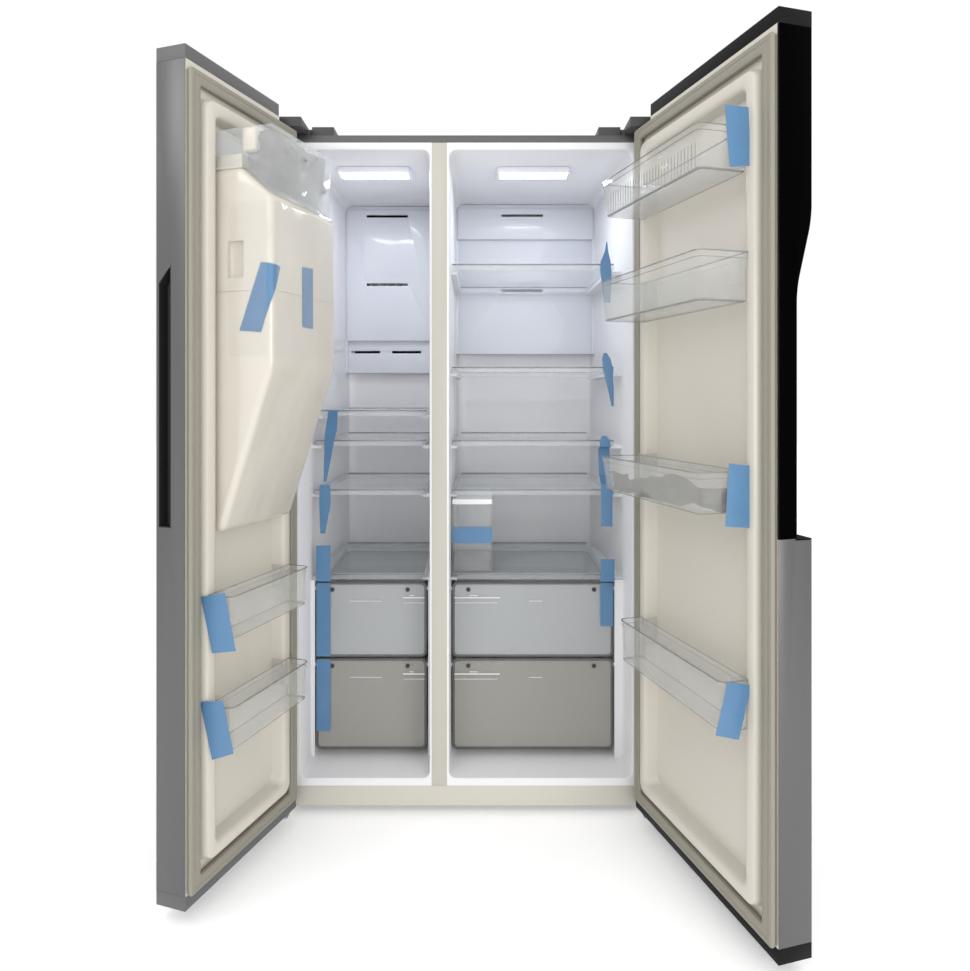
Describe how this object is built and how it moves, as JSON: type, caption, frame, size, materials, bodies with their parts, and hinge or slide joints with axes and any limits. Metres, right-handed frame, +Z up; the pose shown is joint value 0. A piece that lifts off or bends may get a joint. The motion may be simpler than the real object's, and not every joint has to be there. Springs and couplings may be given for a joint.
{
  "type": "side by side refrigerator",
  "caption": "Side by side refrigerator with two hinged doors standing open, glass shelves, clear drawers and door bins, an ice bin and an outside dispenser.",
  "frame": {"origin": "floor level, midway between the four levelling feet, which is under the centre of the cabinet", "axes": "+X to the right of someone facing the open front, +Y towards the rear wall, +Z up"},
  "size_m": [1.221, 1.1636, 1.712],
  "materials": {
    "painted_steel": "satin",
    "zinc_steel": "satin",
    "foam": "matte",
    "liner": "satin",
    "trim": "satin",
    "dark_trim": "satin",
    "duct": "satin",
    "lens": "gloss",
    "black_enamel": "satin",
    "fins": "satin",
    "shelf_trim": "gloss",
    "pane": "gloss",
    "clear": "gloss",
    "seal": "matte",
    "door_steel": "satin",
    "black_plastic": "satin",
    "black_glass": "gloss",
    "fan": "matte",
    "roller": "matte",
    "foot": "matte",
    "snack_lid": "satin"
  },
  "bodies": {
    "cabinet": {"outer_shell": "painted_steel", "back_panel": "zinc_steel", "base_pan": "zinc_steel", "cabinet_foam": "foam", "freezer_liner": "liner", "fridge_liner": "liner", "mullion_cover": "trim", "front_base_cover": "trim", "hinge_plates": "zinc_steel", "hinge_covers": "dark_trim", "freezer_duct_cover": "duct", "fridge_duct_cover": "duct", "lamp_lenses": "lens", "evaporator": "fins", "compressor": "black_enamel", "condenser": "fins", "machine_cover": "zinc_steel", "levelling_feet": "foot", "freezer_shelf_1": "shelf_trim", "freezer_shelf_2": "shelf_trim", "freezer_shelf_3": "shelf_trim", "fridge_shelf_1": "shelf_trim", "fridge_shelf_2": "shelf_trim", "fridge_shelf_3": "shelf_trim", "fridge_shelf_4": "shelf_trim", "shelf_glass": "pane", "freezer_drawer_cover": "shelf_trim", "crisper_cover": "shelf_trim", "snack_box": "clear", "snack_box_lid": "snack_lid"},
    "freezer_door": {"freezer_door_skin": "door_steel", "freezer_door_caps": "dark_trim", "freezer_door_foam": "foam", "freezer_door_liner": "liner", "freezer_door_gasket": "seal", "freezer_grip": "black_plastic", "dispenser_panel": "black_plastic", "dispenser_tray": "black_plastic", "ice_bin": "clear", "freezer_bin_1": "clear", "freezer_bin_2": "clear"},
    "fridge_door": {"fridge_door_skin": "door_steel", "fridge_door_panel": "black_glass", "fridge_door_caps": "dark_trim", "fridge_door_foam": "foam", "fridge_door_liner": "liner", "fridge_door_gasket": "seal", "fridge_bin_1": "clear", "fridge_bin_2": "clear", "fridge_bin_3": "clear", "fridge_bin_4": "clear"},
    "dispenser_paddle": {"dispenser_paddle": "black_plastic"},
    "freezer_drawer_upper": {"freezer_drawer_upper": "clear"},
    "freezer_drawer_lower": {"freezer_drawer_lower": "clear"},
    "crisper_drawer_upper": {"crisper_drawer_upper": "clear"},
    "crisper_drawer_lower": {"crisper_drawer_lower": "clear"},
    "snack_drawer": {"snack_drawer": "clear"},
    "evaporator_fan": {"evaporator_fan": "fan"},
    "condenser_fan": {"condenser_fan": "fan"},
    "rear_rollers": {"rear_rollers": "roller"}
  },
  "joints": [
    {"name": "freezer_door_hinge", "type": "hinge", "parent": "cabinet", "child": "freezer_door", "pos_m": [-0.4385, -0.3466, 0.9], "axis": [0, 0, -1], "range_deg": [-108.4, 12]},
    {"name": "fridge_door_hinge", "type": "hinge", "parent": "cabinet", "child": "fridge_door", "pos_m": [0.4385, -0.3466, 0.9], "axis": [0, 0, 1], "range_deg": [-106, 14]},
    {"name": "freezer_drawer_upper_slide", "type": "slide", "parent": "cabinet", "child": "freezer_drawer_upper", "axis": [0, -1, 0], "range_m": [0, 0.19]},
    {"name": "freezer_drawer_lower_slide", "type": "slide", "parent": "cabinet", "child": "freezer_drawer_lower", "axis": [0, -1, 0], "range_m": [0, 0.19]},
    {"name": "crisper_drawer_upper_slide", "type": "slide", "parent": "cabinet", "child": "crisper_drawer_upper", "axis": [0, -1, 0], "range_m": [0, 0.19]},
    {"name": "crisper_drawer_lower_slide", "type": "slide", "parent": "cabinet", "child": "crisper_drawer_lower", "axis": [0, -1, 0], "range_m": [0, 0.19]},
    {"name": "snack_drawer_slide", "type": "slide", "parent": "cabinet", "child": "snack_drawer", "axis": [0, -1, 0], "range_m": [0, 0.1]},
    {"name": "dispenser_paddle_pivot", "type": "hinge", "parent": "freezer_door", "child": "dispenser_paddle", "pos_m": [-0.50629, -0.51111, 1.302], "axis": [-0.3156, -0.9489, 0], "range_deg": [0, 6], "stiffness_Nm_per_rad": 0.3},
    {"name": "evaporator_fan_spin", "type": "hinge", "parent": "cabinet", "child": "evaporator_fan", "pos_m": [-0.247, 0.23, 1.533], "axis": [0, 1, 0], "continuous": true},
    {"name": "condenser_fan_spin", "type": "hinge", "parent": "cabinet", "child": "condenser_fan", "pos_m": [0.01, 0.22, 0.125], "axis": [1, 0, 0], "continuous": true},
    {"name": "rear_rollers_spin", "type": "hinge", "parent": "cabinet", "child": "rear_rollers", "pos_m": [0, 0.2, 0.018], "axis": [1, 0, 0], "continuous": true}
  ]
}
